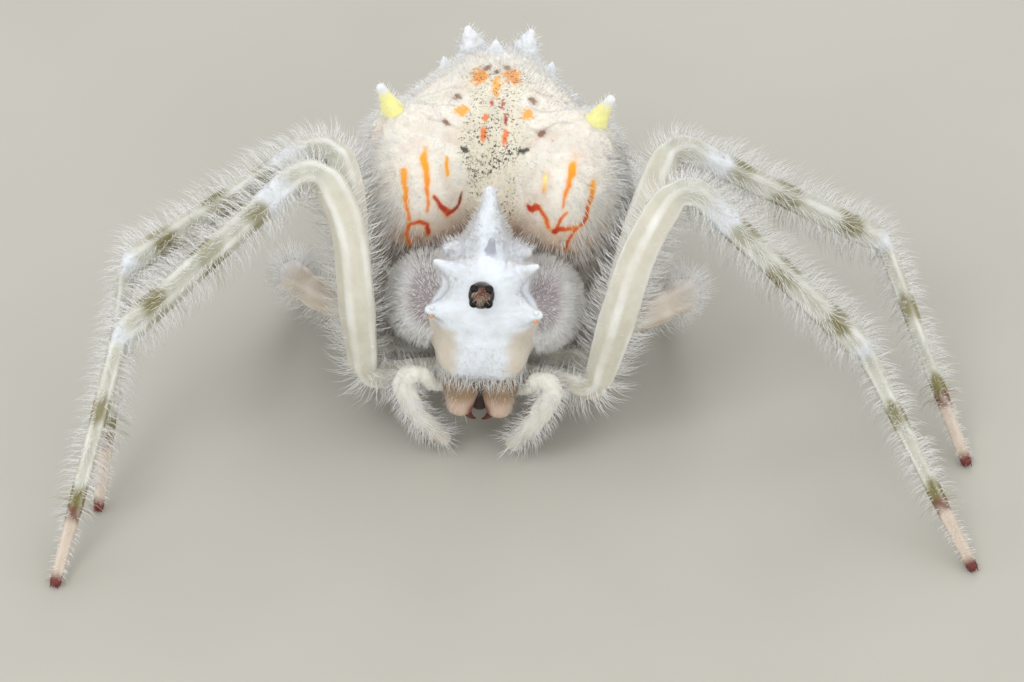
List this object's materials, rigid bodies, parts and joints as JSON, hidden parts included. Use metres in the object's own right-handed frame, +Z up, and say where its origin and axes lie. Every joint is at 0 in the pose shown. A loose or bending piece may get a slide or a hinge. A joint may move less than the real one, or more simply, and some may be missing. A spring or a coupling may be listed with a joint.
{
  "type": "magnificent spider model",
  "caption": "Life-size still model of a white, horned bolas spider, Ordgarius magnificus, standing with its front legs spread wide, with bristly legs and yellow shoulder knobs.",
  "frame": {"origin": "middle of the footprint, on the floor under the body", "axes": "+Z up, the spider faces -Y, +X is on the right seen from the front"},
  "size_m": [0.0298, 0.0234, 0.0097],
  "materials": {
    "abdomen_cuticle": "cream white, downy",
    "carapace_cuticle": "bluish white, downy",
    "eyes": "near black, glossy",
    "eye_mound_cuticle": "dark brown, smooth",
    "fangs": "dark red-brown, glossy",
    "pink_cuticle": "pale pinkish brown",
    "waxy_cuticle": "waxy white, slightly see-through",
    "leg_cuticle": "pale with olive bands, bristly",
    "knob_cuticle": "pale yellow"
  },
  "bodies": {
    "root": {"abdomen": "abdomen_cuticle", "carapace": "carapace_cuticle", "eye_lower_middle_left": "eyes", "eye_lower_middle_right": "eyes", "eye_lower_side_left": "eyes", "eye_lower_side_right": "eyes", "eye_mound": "eye_mound_cuticle", "eye_upper_middle_left": "eyes", "eye_upper_middle_right": "eyes", "eye_upper_side_left": "eyes", "eye_upper_side_right": "eyes", "fang_left": "fangs", "fang_right": "fangs", "jaw_left": "pink_cuticle", "jaw_right": "pink_cuticle", "leg_1_left_femur": "waxy_cuticle", "leg_1_left_metatarsus": "leg_cuticle", "leg_1_left_tarsus": "pink_cuticle", "leg_1_left_tibia": "leg_cuticle", "leg_1_right_femur": "waxy_cuticle", "leg_1_right_metatarsus": "leg_cuticle", "leg_1_right_tarsus": "pink_cuticle", "leg_1_right_tibia": "leg_cuticle", "leg_2_left_femur": "waxy_cuticle", "leg_2_left_metatarsus": "leg_cuticle", "leg_2_left_tarsus": "pink_cuticle", "leg_2_left_tibia": "leg_cuticle", "leg_2_right_femur": "waxy_cuticle", "leg_2_right_metatarsus": "leg_cuticle", "leg_2_right_tarsus": "pink_cuticle", "leg_2_right_tibia": "leg_cuticle", "leg_3_left_femur": "waxy_cuticle", "leg_3_left_metatarsus": "leg_cuticle", "leg_3_left_tarsus": "pink_cuticle", "leg_3_left_tibia": "leg_cuticle", "leg_3_right_femur": "waxy_cuticle", "leg_3_right_metatarsus": "leg_cuticle", "leg_3_right_tarsus": "pink_cuticle", "leg_3_right_tibia": "leg_cuticle", "leg_4_left_femur": "waxy_cuticle", "leg_4_left_metatarsus": "leg_cuticle", "leg_4_left_tarsus": "pink_cuticle", "leg_4_left_tibia": "leg_cuticle", "leg_4_right_femur": "waxy_cuticle", "leg_4_right_metatarsus": "leg_cuticle", "leg_4_right_tarsus": "pink_cuticle", "leg_4_right_tibia": "leg_cuticle", "palp_lower_left": "waxy_cuticle", "palp_lower_right": "waxy_cuticle", "palp_upper_left": "waxy_cuticle", "palp_upper_right": "waxy_cuticle", "pedicel": "pink_cuticle", "shoulder_knob_left": "knob_cuticle", "shoulder_knob_right": "knob_cuticle", "spinnerets": "pink_cuticle", "sternum": "pink_cuticle"}
  },
  "joints": []
}
